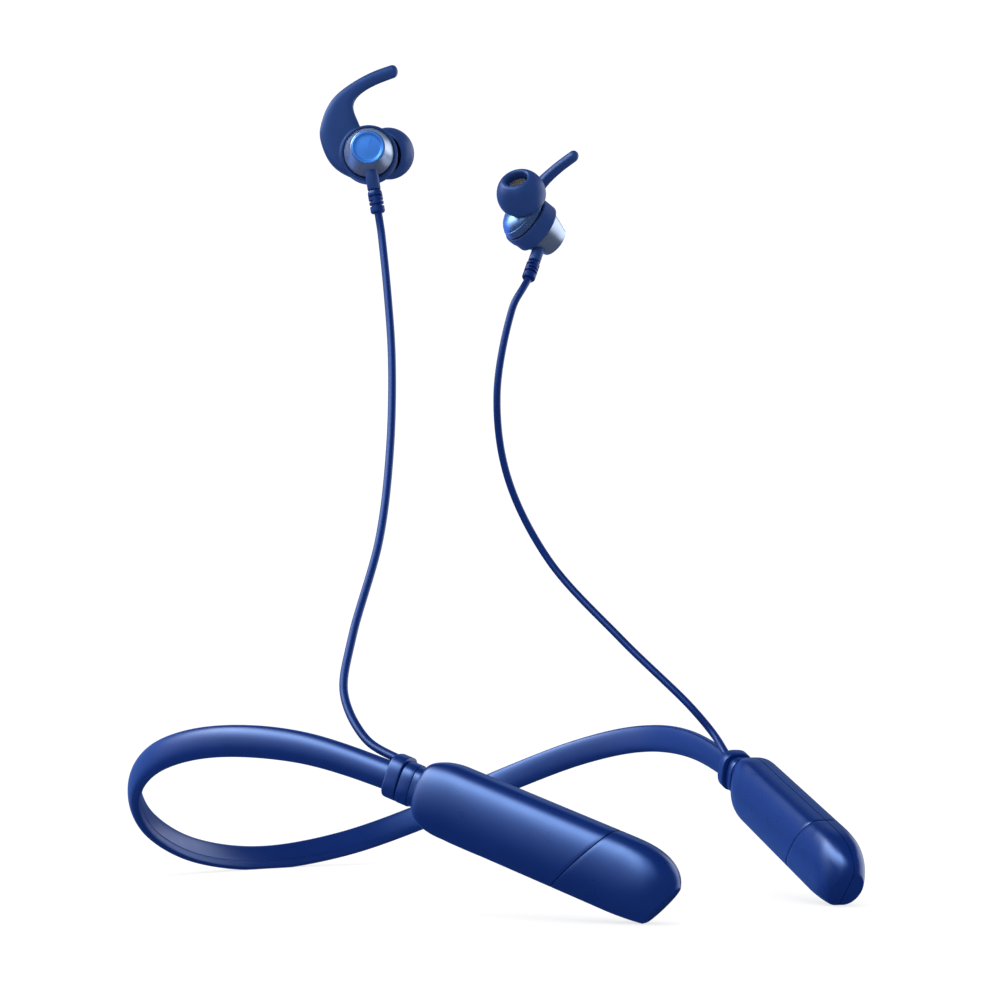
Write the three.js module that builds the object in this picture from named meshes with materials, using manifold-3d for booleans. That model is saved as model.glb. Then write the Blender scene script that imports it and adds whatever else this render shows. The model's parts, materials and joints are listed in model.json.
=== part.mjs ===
// Neckband earphones: a flexible band that joins two pods, with an earbud on a cable from each pod.
//
// Millimetres, +Z up. The band stands as an arch on a table at z = 0, the pods point to -Y, and x = 0 is
// the mirror plane. The origin is the middle of the small flat on which the band's back rests. The
// wearer's left is +X. Each side's pieces are drawn for the left, and the right side's are their mirror
// images; only the cables and the way the earbuds face differ from side to side.
import * as THREE from 'three';
import { mergeVertices } from 'three/addons/utils/BufferGeometryUtils.js';
import Module from 'manifold-3d';

const wasm = await Module();
wasm.setup();

const LEFT = 1;
const RIGHT = -1;
const GAP = 0.3; // clearance between neighbouring pieces

// ---- Band ----
const BAND_KNOTS = [ // centre line of the left half, from the middle of the back to the collar
  [0, 0, 2.75], [24.3, -3.7, 5.8], [45.1, -14.5, 13.6], [60, -31.7, 23.4],
  [67.8, -53.8, 31.4], [67.7, -78, 35.2], [61.2, -102.4, 34], [51.9, -127.3, 26.85],
];
const BAND_WIDTH = 7.1;
const BAND_END_WIDTH = 6.2; // at the collars
const BAND_CROWN = 1.9; // from the centre line to the outer face
const BAND_FLAT = 1.5; // from the centre line to the inner face
const BACK_REST = 1.25; // how far the flat under the back lies in front of the centre line
const BACK_LEAN = 38; // degrees that the ribbon leans back at the middle of its back
const LEAN_ENDS = 95; // distance along the band over which that lean fades out
const FLEX_AT = 31; // distance along the band from the middle to the flex joint
const FLEX_GAP = 0.6;
const STRIP = { width: 3.6, thickness: 0.4, offset: -0.5 };
const INTO_POD = 20; // how far the centre line is drawn on into each pod
const LOOM = { width: 3.4, thickness: 0.5, offset: 0.45 };
const CHANNEL = { width: 4.4, thickness: 2.1 };

// ---- Pods, along the axis z from the collar's front face ----
const POD_ORIGIN = new THREE.Vector3(51.9, -127.3, 26.85);
const POD_END = new THREE.Vector3(27.1, -181.5, 5.1);
const POD_LENGTH = 63.3;
const POD_HALF_WIDTH = 7.75;
const POD_HALF_THICKNESS = 5.2;
const COLLAR = { from: -4.2, to: 0, halfWidth: 4.8, halfThickness: 3.9, rise: 0.3, inward: 0.4 };
const NECK = { from: 0.3, to: 3.3, halfWidth: 4.5, halfThickness: 3.4 };
const SHELL_FROM = 3.6;
const SHOULDER = 8; // length over which the shell grows from the neck to full width
const NOSE = 12.4; // length over which it rounds off at the end
const WALL = 1.2;
const SEAM = { at: 42.7, slope: 0.58 }; // plane between the shells and the tail: z = at + slope * y
const FACET = { top: [2.2, 63.3], bottom: [-7.6, 58.4] }; // the end facet's line in the y-z plane
const CABLE_EXIT = [-2.1, 3.5]; // where the cable leaves the collar, x and y
const LEAD_SLOT = { x: [-1.4, 1.3], y: [-2.3, 2.3] }; // for the strip and the loom, into the pod

// ---- Cables ----
const CABLE_RADIUS = 0.95;
const CABLE_KNOTS = { // from the collar to the strain relief, drawn for the left side
  [LEFT]: {
    root: [[52.4, -118.7, 36.3]], bend: [49.2, -113.7, 43.4],
    lower: [[41.3, -97.2, 60.6], [32.2, -79.7, 81.7]], middle: [23, -74.4, 102.7],
    upper: [[17.6, -76.4, 123], [18.8, -79.9, 143], [20.7, -81.6, 149.8]],
  },
  [RIGHT]: {
    root: [[52.2, -113.1, 36]], bend: [51.3, -104, 46],
    lower: [[47.7, -101.9, 57.9], [37.9, -99, 81]], middle: [32, -95.2, 102.6],
    upper: [[28, -90.6, 125], [26.8, -87.2, 142], [26.7, -84.5, 157.1]],
  },
};
const CABLE_BREAK = 0.45; // half the gap at a cable's joints

// ---- Earbuds, in their own frame: x forward, y up, z along the body axis into the ear ----
const BUDS = {
  [LEFT]: { centre: [26.8, -79.3, 169.7], axis: [-0.886, 0.103, 0.46] },
  [RIGHT]: { centre: [26.8, -79.6, 177.4], axis: [-0.639, 0.767, 0.059] },
};
const NOZZLE_AXIS = new THREE.Vector3(0.46, 0.25, 0.85).normalize();
const NOZZLE = { radius: 2.3, bore: 1.75, lip: 2.5, end: 12.9 };
const ROUND = 22; // sides of the larger round bodies
const TIP = { from: 6.6, to: 14.7, radius: 6.4, core: 2.8 };
const STEM = { root: [0.6, -4.5, -4.9], radius: 1.6 };
const STEM_AXIS = new THREE.Vector3(0.17, -0.985, 0).normalize();
const STEM_END = 9.5; // from the body axis
const BOOT_END = 15.2;
const SLEEVE = { from: -2.8, to: 1.8, inner: 6.1, outer: 6.9 };

// ---- Colours ----
const finish = (color, roughness, metalness = 0) => ({ color, roughness, metalness });
const SILICONE = finish(0x24468f, 0.6);
const SHELL = finish(0x27509f, 0.42);
const CABLE = finish(0x1f3f86, 0.5);
const BRIGHT_BLUE = finish(0x3f7fd0, 0.25, 0.9);
const SILVER_BLUE = finish(0x8ea3c4, 0.3, 0.9);
const STEEL = finish(0x9a9ea3, 0.3, 1);
const COPPER = finish(0xb5763c, 0.4, 0.8);
const BOARD = finish(0x1d5a3a, 0.5);
const BLACK = finish(0x1b1b1d, 0.5);
const FOIL = finish(0xc7c9cc, 0.35, 0.6);
const MESH = finish(0x6b6257, 0.45, 0.8);
const CLEAR = finish(0xdfe6ee, 0.2);

// ---- Solids ----
const vector = (a) => (a.isVector3 ? a.clone() : new THREE.Vector3(...a));

// Shares the vertices of a closed skin and drops triangles with no area.
function weld(geometry) {
  const bare = geometry.clone();
  for (const name of Object.keys(bare.attributes)) {
    if (name !== 'position') bare.deleteAttribute(name);
  }
  const merged = mergeVertices(bare, 1e-4);
  const index = [];
  for (let i = 0; i < merged.index.count; i += 3) {
    const [a, b, c] = [0, 1, 2].map((k) => merged.index.getX(i + k));
    if (a !== b && b !== c && c !== a) index.push(a, b, c);
  }
  merged.setIndex(index);
  return merged;
}

function solidOf(geometry) {
  const welded = weld(geometry);
  return new wasm.Manifold(new wasm.Mesh({
    numProp: 3,
    vertProperties: new Float32Array(welded.attributes.position.array),
    triVerts: new Uint32Array(welded.index.array),
  }));
}

function geometryOf(solid) {
  const { vertProperties, triVerts } = solid.getMesh();
  const geometry = new THREE.BufferGeometry();
  geometry.setAttribute('position', new THREE.Float32BufferAttribute(vertProperties, 3));
  geometry.setIndex(Array.from(triVerts));
  return geometry;
}

const cut = (geometry, ...tools) =>
  geometryOf(tools.reduce((solid, tool) => solid.subtract(solidOf(tool)), solidOf(geometry)));
const join = (...geometries) =>
  geometryOf(geometries.map(solidOf).reduce((a, b) => a.add(b)));
const overlap = (a, b) => geometryOf(solidOf(a).intersect(solidOf(b)));

// A closed skin through rings of equal point counts. Each ring turns anticlockwise seen from the last one.
function loft(rings) {
  const count = rings[0].length;
  const points = rings.flat();
  const index = [];
  for (let r = 0; r + 1 < rings.length; r += 1) {
    for (let i = 0; i < count; i += 1) {
      const a = r * count + i;
      const b = r * count + (i + 1) % count;
      index.push(a, b, b + count, a, b + count, a + count);
    }
  }
  const last = (rings.length - 1) * count;
  for (let i = 1; i + 1 < count; i += 1) {
    index.push(0, i + 1, i);
    index.push(last, last + i, last + i + 1);
  }
  const geometry = new THREE.BufferGeometry().setFromPoints(points);
  geometry.setIndex(index);
  return geometry;
}

// A rounded rectangle, or an ellipse when power is 2, as points [x, y].
function roundedOutline(halfX, halfY, count = 20, power = 3.2, centreY = 0) {
  const curve = (c) => Math.sign(c) * Math.abs(c) ** (2 / power);
  return Array.from({ length: count }, (_, i) => {
    const angle = (2 * Math.PI * (i + 0.5)) / count;
    return [halfX * curve(Math.cos(angle)), centreY + halfY * curve(Math.sin(angle))];
  });
}

const ringAt = (outline, z) => outline.map(([x, y]) => new THREE.Vector3(x, y, z));
const prism = (outline, from, to) => loft([ringAt(outline, from), ringAt(outline, to)]);

function box(x, y, z) { // each as [from, to]
  const geometry = new THREE.BoxGeometry(x[1] - x[0], y[1] - y[0], z[1] - z[0]);
  return geometry.translate((x[0] + x[1]) / 2, (y[0] + y[1]) / 2, (z[0] + z[1]) / 2);
}

// A body of revolution about z. The profile is [radius, z] points, from low z outside to high z.
function turned(profile, segments = 18) {
  const points = profile.map(([radius, z]) => new THREE.Vector2(radius, z));
  return new THREE.LatheGeometry(points, segments).rotateX(Math.PI / 2);
}

const disc = (radius, from, to, segments = 18) =>
  turned([[0, from], [radius, from], [radius, to], [0, to]], segments);

function alongAxis(geometry, origin, direction) {
  const turn = new THREE.Quaternion().setFromUnitVectors(new THREE.Vector3(0, 0, 1), direction);
  return geometry.applyQuaternion(turn).translate(origin.x, origin.y, origin.z);
}

function mirrorX(geometry) {
  const mirrored = geometry.index ? geometry.toNonIndexed() : geometry.clone();
  mirrored.scale(-1, 1, 1);
  const position = mirrored.attributes.position;
  const a = new THREE.Vector3();
  const b = new THREE.Vector3();
  for (let i = 0; i < position.count; i += 3) {
    a.fromBufferAttribute(position, i);
    b.fromBufferAttribute(position, i + 1);
    position.setXYZ(i, b.x, b.y, b.z);
    position.setXYZ(i + 1, a.x, a.y, a.z);
  }
  return mirrored;
}

// ---- Scene graph ----
const sideName = (side) => (side === LEFT ? 'left' : 'right');
const earphones = new THREE.Group();
earphones.name = 'neckband_earphones';
earphones.position.y = BACK_REST;

function add(group, name, geometry, look, side = LEFT) {
  const drawn = weld(side === LEFT ? geometry : mirrorX(geometry));
  drawn.computeVertexNormals();
  const mesh = new THREE.Mesh(drawn, new THREE.MeshStandardMaterial(look));
  mesh.name = name;
  group.add(mesh);
}

// A group whose own y and z axes point along two given directions, mirrored for the right side.
function frameFor(side, origin, yAxis, zAxis) {
  const reflect = (v) => new THREE.Vector3(side * v.x, v.y, v.z);
  const z = reflect(zAxis).normalize();
  const y = reflect(yAxis);
  y.addScaledVector(z, -y.dot(z)).normalize();
  const group = new THREE.Group();
  const x = new THREE.Vector3().crossVectors(y, z);
  group.setRotationFromMatrix(new THREE.Matrix4().makeBasis(x, y, z));
  group.position.copy(reflect(origin));
  earphones.add(group);
  return group;
}

// ---- Band ----
const podAxis = POD_END.clone().sub(POD_ORIGIN).normalize();
const leftHalf = BAND_KNOTS.map(vector);
const rightHalf = leftHalf.slice(1).map((p) => new THREE.Vector3(-p.x, p.y, p.z)).reverse();
const intoPod = POD_ORIGIN.clone().addScaledVector(podAxis, INTO_POD);
const centreLine = new THREE.CatmullRomCurve3([
  new THREE.Vector3(-intoPod.x, intoPod.y, intoPod.z), ...rightHalf, ...leftHalf, intoPod,
]);
centreLine.arcLengthDivisions = 800;
const lineLength = centreLine.getLength();

// The band's frame at a distance along it from the middle of the back, towards the left pod.
function bandFrame(distance) {
  const u = 0.5 + distance / lineLength;
  const tangent = centreLine.getTangentAt(u);
  const fade = THREE.MathUtils.smoothstep(Math.abs(distance), 0, LEAN_ENDS);
  const lean = THREE.MathUtils.degToRad(BACK_LEAN * (1 - fade));
  const wide = new THREE.Vector3(0, Math.sin(lean), Math.cos(lean));
  wide.addScaledVector(tangent, -wide.dot(tangent)).normalize();
  const outward = new THREE.Vector3().crossVectors(wide, tangent);
  return { point: centreLine.getPointAt(u), tangent, wide, outward };
}

function sweepAlongBand(from, to, steps, outlineAt) {
  const rings = [];
  for (let i = 0; i <= steps; i += 1) {
    const distance = from + ((to - from) * i) / steps;
    const { point, wide, outward } = bandFrame(distance);
    rings.push(outlineAt(distance).map(([x, y]) =>
      point.clone().addScaledVector(outward, x).addScaledVector(wide, y)));
  }
  return loft(rings);
}

// The pods' stretch at each end of the centre line is straight, so the collar is that far from its end.
const collarDistance = lineLength / 2 - INTO_POD;

function ribbonOutline(distance) {
  const taper = THREE.MathUtils.smoothstep(Math.abs(distance), collarDistance - 40, collarDistance);
  const halfWidth = THREE.MathUtils.lerp(BAND_WIDTH, BAND_END_WIDTH, taper) / 2;
  const count = 12;
  return Array.from({ length: count }, (_, i) => {
    const angle = (2 * Math.PI * (i + 0.5)) / count;
    const c = Math.cos(angle);
    const s = Math.sin(angle);
    const x = c > 0 ? BAND_CROWN * c ** 0.8 : -BAND_FLAT * Math.abs(c) ** 0.45;
    return [x, halfWidth * Math.sign(s) * Math.abs(s) ** 0.75];
  });
}

const stripOutline = ({ width, thickness, offset }) => {
  const x = [offset - thickness / 2, offset + thickness / 2];
  return [[x[1], -width / 2], [x[1], width / 2], [x[0], width / 2], [x[0], -width / 2]];
};

function bandLength(prefix, from, to, innerTo, steps, side) {
  const ribbon = sweepAlongBand(from, to, steps, ribbonOutline);
  const channel = sweepAlongBand(from - 1, to + 1, steps, () => stripOutline({ ...CHANNEL, offset: 0 }));
  const table = box([-100, 100], [-50, 50], [-20, 0]);
  const strand = (size) => sweepAlongBand(from + GAP, innerTo, steps, () => stripOutline(size));
  add(earphones, `${prefix}_band`, cut(ribbon, channel, table), SILICONE, side);
  add(earphones, `${prefix}_spring_strip`, strand(STRIP), STEEL, side);
  add(earphones, `${prefix}_wire_loom`, strand(LOOM), COPPER, side);
}

// ---- Pods ----
// Everything in the y-z plane's half beyond a line, whose outward normal is [ny, nz], as a big block.
function beyond([y, z], [ny, nz], shift = 0) {
  const size = 60;
  const length = Math.hypot(ny, nz);
  const block = new THREE.BoxGeometry(size, size, size).translate(0, 0, size / 2 + shift);
  return block.rotateX(Math.atan2(-ny / length, nz / length)).translate(0, y, z);
}

const facetNormal = [FACET.bottom[1] - FACET.top[1], FACET.top[0] - FACET.bottom[0]];
const pastFacet = (inset) => beyond(FACET.top, facetNormal, -inset);
const pastSeam = (shift) => beyond([0, SEAM.at], [-SEAM.slope, 1], shift);
const beforeSeam = (shift) => beyond([0, SEAM.at], [SEAM.slope, -1], shift);

// The top edge and the sides round off towards the end; the bottom runs straight on into the facet.
function podSkin(inset) {
  const rings = [];
  const shoulderSteps = 5;
  const noseSteps = 7;
  const power = 3.2;
  const ring = (halfThickness, bottom, top, z) => {
    const outline = roundedOutline(
      halfThickness - inset, (bottom + top) / 2 - inset, 20, power, (top - bottom) / 2,
    );
    rings.push(ringAt(outline, z));
  };
  for (let i = 0; i <= shoulderSteps; i += 1) {
    const angle = (Math.PI / 2) * (i / shoulderSteps);
    const grow = Math.sin(angle);
    const z = SHELL_FROM + inset + (SHOULDER - inset) * (1 - Math.cos(angle));
    const halfWidth = THREE.MathUtils.lerp(NECK.halfWidth + 0.1, POD_HALF_WIDTH, grow);
    ring(
      THREE.MathUtils.lerp(NECK.halfThickness + 0.1, POD_HALF_THICKNESS, grow), halfWidth, halfWidth, z,
    );
  }
  const noseFrom = POD_LENGTH - NOSE;
  for (let i = 0; i <= noseSteps; i += 1) {
    const t = Math.sin((Math.PI / 2) * (i / noseSteps)) * 0.985;
    const thin = Math.max(0, (t - 0.25) / 0.75);
    ring(
      POD_HALF_THICKNESS * (1 - thin ** 2.4) ** (1 / 2.4) + inset * thin, POD_HALF_WIDTH,
      POD_HALF_WIDTH * (1 - t ** 2.5) ** (1 / 2.5) + inset * t, noseFrom + (NOSE - inset) * t,
    );
  }
  return loft(rings);
}

const OUTER_HALF = box([GAP / 2, 20], [-20, 20], [-10, 80]);
const INNER_HALF = box([-20, -GAP / 2], [-20, 20], [-10, 80]);

// Buttons stand in the inner face of the right pod, and the charging port opens in its underside.
const BUTTONS = { volume_up: 24, centre: 30.5, volume_down: 37 }; // places along the axis
const BUTTON = { length: 5.2, width: 4, rim: 0.45, face: -5.6, flange: [-3.6, -3], foot: -1.9 };
const PORT = { at: 17.2, halfLength: 4.5, halfThickness: 1.6, mouth: -6.7, back: -0.6 };
const FLAP = { from: 11.7, to: 22.7, halfWidth: 2.4, y: [-7.7, -7.2] };
const BOARD_X = [0.6, 1.4];
const LIGHT = { y: 3.4, z: 17.6, radius: 0.6 };

function buttonOutline(grow) {
  return roundedOutline(BUTTON.width / 2 + grow, BUTTON.length / 2 + grow, 16, 3);
}

// A prism along x, from an outline of [y, z] points about a centre.
function sideways(outline, [from, to], y, z) {
  return prism(outline, from, to).applyMatrix4(new THREE.Matrix4().makeBasis(
    new THREE.Vector3(0, 1, 0), new THREE.Vector3(0, 0, 1), new THREE.Vector3(1, 0, 0),
  )).translate(0, y, z);
}

const lightOutline = (grow) => roundedOutline(LIGHT.radius + grow, LIGHT.radius + grow, 10, 2);

function controlHoles() {
  const holes = Object.values(BUTTONS).map((z) => sideways(buttonOutline(GAP), [-9, -3.5], 0, z));
  holes.push(sideways(lightOutline(GAP), [-9, -2], LIGHT.y, LIGHT.z));
  return holes;
}

function portHoles() {
  const { at, halfLength, halfThickness } = PORT;
  const opening = box(
    [-halfThickness - GAP, halfThickness + GAP], [-12, -5], [at - halfLength - GAP, at + halfLength + GAP],
  );
  const pocket = box(
    [-FLAP.halfWidth - GAP, FLAP.halfWidth + GAP], [-12, FLAP.y[1] + GAP], [FLAP.from - GAP, FLAP.to + GAP],
  );
  return [opening, pocket];
}

function podHousing(side, group) {
  const name = sideName(side);
  const slot = box(LEAD_SLOT.x, LEAD_SLOT.y, [-10, SHELL_FROM + WALL + 2]);
  const hollow = cut(podSkin(0), podSkin(WALL), slot);
  const main = cut(hollow, pastSeam(-GAP / 2));
  const openings = side === RIGHT ? portHoles() : [];
  const controls = side === RIGHT ? controlHoles() : [];
  add(group, `${name}_outer_shell`, overlap(cut(main, ...openings), OUTER_HALF), SHELL, side);
  add(group, `${name}_inner_shell`, overlap(cut(main, ...openings, ...controls), INNER_HALF), SHELL, side);

  const wide = new THREE.Vector3(0, 0, 1).addScaledVector(podAxis, -podAxis.z).normalize();
  const tableUnder = beyond([0, -POD_ORIGIN.z / podAxis.z], [-wide.z, -podAxis.z]);
  const tailHollow = cut(podSkin(WALL), pastFacet(WALL));
  const tail = cut(podSkin(0), pastFacet(0), tableUnder, tailHollow, beforeSeam(-GAP / 2));
  add(group, `${name}_tail_outer`, overlap(tail, OUTER_HALF), SHELL, side);
  add(group, `${name}_tail_inner`, overlap(tail, INNER_HALF), SHELL, side);
}

function podCollar(side, group) {
  const name = sideName(side);
  const { from, to, halfWidth, halfThickness, rise, inward } = COLLAR;
  const outline = roundedOutline(halfThickness, halfWidth, 24, 3, rise);
  const body = prism(outline, from, to).translate(-inward, 0, 0);
  const grow = 0.35;
  const socket = prism(ribbonOutline(collarDistance).map(([x, y]) =>
    [x + Math.sign(x) * grow, y * (1 + (2 * grow) / BAND_END_WIDTH)]), from - 1, to + 1);
  const cableHole = disc(CABLE_RADIUS + 0.2, from - 1, to + 1, 12).translate(...CABLE_EXIT, 0);
  add(group, `${name}_collar`, cut(body, socket, cableHole), SILICONE, side);

  const ring = prism(roundedOutline(NECK.halfThickness, NECK.halfWidth, 24, 3), NECK.from, NECK.to);
  const slot = box(LEAD_SLOT.x, LEAD_SLOT.y, [NECK.from - 1, NECK.to + 1]);
  add(group, `${name}_neck_ring`, cut(ring, slot), SHELL, side);
}

function rightPodInside(group) {
  const { at, halfLength, halfThickness, mouth, back } = PORT;
  const board = cut(
    box(BOARD_X, [-5.4, 5.4], [9, 39]),
    box([-3, 3], [-9, back + GAP], [at - halfLength - GAP, at + halfLength + GAP]),
  );
  add(group, 'main_board', board, BOARD, RIGHT);
  add(group, 'radio_shield', box([1.7, 3.1], [-3.6, 3.6], [22.1, 33]), FOIL, RIGHT);
  const motor = sideways(roundedOutline(3.3, 3.3, 20, 2), [1.7, 3.7], 0.6, 14);
  add(group, 'vibration_motor', motor, STEEL, RIGHT);

  const shell = prism(roundedOutline(halfThickness, halfLength, 20, 5), 0, back - mouth);
  const bore = prism(roundedOutline(halfThickness - 0.35, halfLength - 0.35, 20, 5), -1, back - mouth - 1);
  const tongue = box([-0.35, 0.35], [-3.3, 3.3], [1, back - mouth - 0.5]);
  const receptacle = join(cut(shell, bore), tongue).rotateX(-Math.PI / 2).translate(0, mouth, at);
  add(group, 'usb_receptacle', receptacle, STEEL, RIGHT);

  for (const [name, z] of Object.entries(BUTTONS)) {
    add(group, `${name}_switch`, box([-1.2, 0.3], [-1.6, 1.6], [z - 1.6, z + 1.6]), BLACK, RIGHT);
    const cap = sideways(buttonOutline(0), [BUTTON.face, BUTTON.flange[1]], 0, z);
    const flange = sideways(buttonOutline(BUTTON.rim), BUTTON.flange, 0, z);
    const foot = sideways(roundedOutline(0.8, 0.8, 10, 2), [BUTTON.flange[0], BUTTON.foot], 0, z);
    add(group, `${name}_button`, join(cap, flange, foot), SILICONE, RIGHT);
  }
  add(group, 'status_light_pipe', sideways(lightOutline(0), [-4.95, 0.3], LIGHT.y, LIGHT.z), CLEAR, RIGHT);

  const flapMiddle = (FLAP.from + FLAP.to) / 2;
  const flap = prism(roundedOutline(FLAP.halfWidth, (FLAP.to - FLAP.from) / 2, 20, 4), ...FLAP.y);
  add(group, 'port_flap', flap.rotateX(-Math.PI / 2).translate(0, 0, flapMiddle), SILICONE, RIGHT);
}

function leftPodInside(group) {
  const cell = prism(roundedOutline(3.3, 5.2, 20, 6), 10.4, 38);
  add(group, 'battery_cell', cell, FOIL, LEFT);
  add(group, 'protection_board', box([-2.8, 2.8], [-3.6, 3.6], [8.8, 9.6]), BOARD, LEFT);
}

// ---- Cables ----
class Stretch extends THREE.Curve { // part of a curve, between two of its arc fractions
  constructor(curve, from, to) {
    super();
    Object.assign(this, { curve, from, to });
  }

  getPoint(t, target) {
    return this.curve.getPointAt(THREE.MathUtils.lerp(this.from, this.to, t), target);
  }
}

function nearestFraction(curve, target) {
  const steps = 2000;
  let nearest = 0;
  for (let i = 1; i <= steps; i += 1) {
    const here = curve.getPointAt(i / steps).distanceTo(target);
    if (here < curve.getPointAt(nearest).distanceTo(target)) nearest = i / steps;
  }
  return nearest;
}

function cableRun(side, pod, bud) {
  const knots = CABLE_KNOTS[side];
  const reflected = ([x, y, z]) => new THREE.Vector3(side * x, y, z);
  const within = (group, point) => {
    group.updateMatrix();
    return reflected(point).applyMatrix4(group.matrix);
  };
  const fromPod = (z) => within(pod, [...CABLE_EXIT, z]);
  const stem = (distance) => within(bud, onStem(distance).toArray());
  const curve = new THREE.CatmullRomCurve3([
    fromPod(-0.8), fromPod(-4.4), ...knots.root.map(reflected), reflected(knots.bend),
    ...knots.lower.map(reflected), reflected(knots.middle), ...knots.upper.map(reflected),
    stem(BOOT_END + 2.5), stem(BOOT_END + GAP),
  ]);
  curve.arcLengthDivisions = 1000;
  const length = curve.getLength();
  const gap = CABLE_BREAK / length;
  const bend = nearestFraction(curve, reflected(knots.bend));
  const middle = nearestFraction(curve, reflected(knots.middle));
  const parts = { root: [0, bend - gap], lower: [bend + gap, middle - gap], upper: [middle + gap, 1] };
  const circle = new THREE.Shape().absarc(0, 0, CABLE_RADIUS, 0, 2 * Math.PI);
  for (const [part, [from, to]] of Object.entries(parts)) {
    const geometry = new THREE.ExtrudeGeometry(circle, {
      steps: Math.ceil(((to - from) * length) / 4), curveSegments: 4, bevelEnabled: false,
      extrudePath: new Stretch(curve, from, to),
    });
    add(earphones, `${sideName(side)}_cable_${part}`, geometry, CABLE);
  }
}

// ---- Earbuds ----
const onStem = (distance) => {
  const root = vector(STEM.root);
  return root.addScaledVector(STEM_AXIS, (distance + root.y) / -STEM_AXIS.y);
};

function wing() {
  const outer = [
    [-10.1, -1.1], [-11.9, 3.5], [-11.8, 7.2], [-9.4, 13.2], [-4.4, 17.7], [0.5, 20.5], [5.3, 22.3],
  ];
  const tip = [6.8, 21.3];
  const inner = [[6, 19.2], [1.3, 17.3], [-2.5, 14.8], [-3.9, 11.9], [-3.1, 9.1], [-1.9, 6.4]];
  const points = (list) => list.map(([x, y]) => new THREE.Vector2(x, y));
  const shape = new THREE.Shape().moveTo(-4.4, -5);
  shape.splineThru(points(outer));
  shape.lineTo(...tip).lineTo(...inner[0]);
  shape.splineThru(points(inner.slice(1)));
  shape.lineTo(-4.4, -5);
  const hook = new THREE.ExtrudeGeometry(shape, { depth: 3.2, bevelEnabled: false, curveSegments: 2 });
  hook.translate(0, 0, -2);
  const { from, to, inner: hole, outer: rim } = SLEEVE;
  return cut(join(disc(rim, from, to, ROUND), hook), disc(hole, from - 1, to + 1, ROUND));
}

// A domed skirt folded back over a tube that holds the nozzle.
function earTip() {
  const { from, to, radius, core } = TIP;
  return turned([
    [5.35, from], [5.75, from], [6.2, 8], [radius, 9.8], [6.1, 11.6], [5.2, 13.3], [4.1, 14.3], [3.2, to],
    [core, 14.3], [core, 7.2], [3.5, 7.2], [3.5, 12.2], [4.6, 12], [5.5, 10.6], [5.75, 9.2], [5.35, from],
  ]);
}

function earbud(side, group) {
  const name = sideName(side);
  const put = (part, geometry, look) => add(group, `${name}_${part}`, geometry, look, side);
  const alongNozzle = (geometry) => alongAxis(geometry, new THREE.Vector3(), NOZZLE_AXIS);

  const endDisc = turned([[0, -8.55], [3.4, -8.55], [3.5, -9], [4.15, -9], [4.15, -8.1], [0, -8.1]]);
  put('end_disc', endDisc, BRIGHT_BLUE);

  const cone = turned([[0, -7.8], [4.5, -7.8], [6, -3.1], [5.3, -3.1], [3.9, -7.1], [0, -7.1]], ROUND);
  const stemStart = onStem(4.5);
  const stemLength = stemStart.distanceTo(onStem(STEM_END));
  const stem = alongAxis(disc(STEM.radius, 0, stemLength, 16), stemStart, STEM_AXIS);
  put('back_housing', join(cone, stem), SILVER_BLUE);
  put('latch_magnet', disc(2.8, -6.7, -5.3, 20), STEEL);
  put('driver', turned([[0, -1.2], [4.7, -1.2], [4.7, 0.2], [3.6, 1.2], [0, 1.2]], 20), BLACK);

  const cup = turned([
    [0, 5.2], [3.9, 4.3], [4.9, 3.2], [5.1, 2.6], [5.1, -2.5], [5.8, -2.5], [5.8, 2.1], [6.5, 2.1],
    [6.5, 3.4], [6.2, 4.2], [5.2, 5.2], [3.8, 6], [0, 6.5],
  ], ROUND);
  const { radius, bore, lip, end } = NOZZLE;
  const tube = alongNozzle(turned([
    [0, 5.3], [radius, 5.3], [radius, end - 0.8], [lip, end - 0.8], [lip, end], [0, end],
  ]));
  put('front_housing', cut(join(cup, tube), alongNozzle(disc(bore, 3, end + 1))), SILVER_BLUE);
  put('grille', alongNozzle(disc(bore - 0.25, end - 0.6, end - 0.3)), MESH);

  put('ear_wing', wing(), SILICONE);
  put('ear_tip', alongNozzle(earTip()), SILICONE);

  const boot = turned([
    [0, 0], [1.7, 0], [1.7, 3], [1.3, 3], [1.3, 3.6], [1.75, 3.6], [1.75, 5], [1.4, 5.4], [0, 5.4],
  ], 16);
  put('strain_relief', alongAxis(boot, onStem(STEM_END + GAP), STEM_AXIS), CABLE);
}

// ---- Assembly ----
const UP = new THREE.Vector3(0, 0, 1);
const flexFrom = FLEX_AT + FLEX_GAP / 2;
const flexTo = FLEX_AT - FLEX_GAP / 2;
bandLength('back', -flexTo, flexTo, flexTo - GAP, 16, LEFT);

for (const side of [LEFT, RIGHT]) {
  bandLength(sideName(side), flexFrom, collarDistance - 0.8, collarDistance + 2.5, 30, side);
  const pod = frameFor(side, POD_ORIGIN, UP, podAxis);
  podCollar(side, pod);
  podHousing(side, pod);
  if (side === RIGHT) rightPodInside(pod);
  else leftPodInside(pod);
  const bud = frameFor(side, vector(BUDS[side].centre), UP, vector(BUDS[side].axis));
  earbud(side, bud);
  cableRun(side, pod, bud);
}

export default earphones;
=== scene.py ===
"""Looks for the neckband earphones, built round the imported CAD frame.

Local frames are in millimetres; pieces are placed in metres in the row frame. Each side is drawn in its own
local frames: the right side's are mirrored, so one set of shapes makes both sides.
"""
import json
import math

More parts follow.
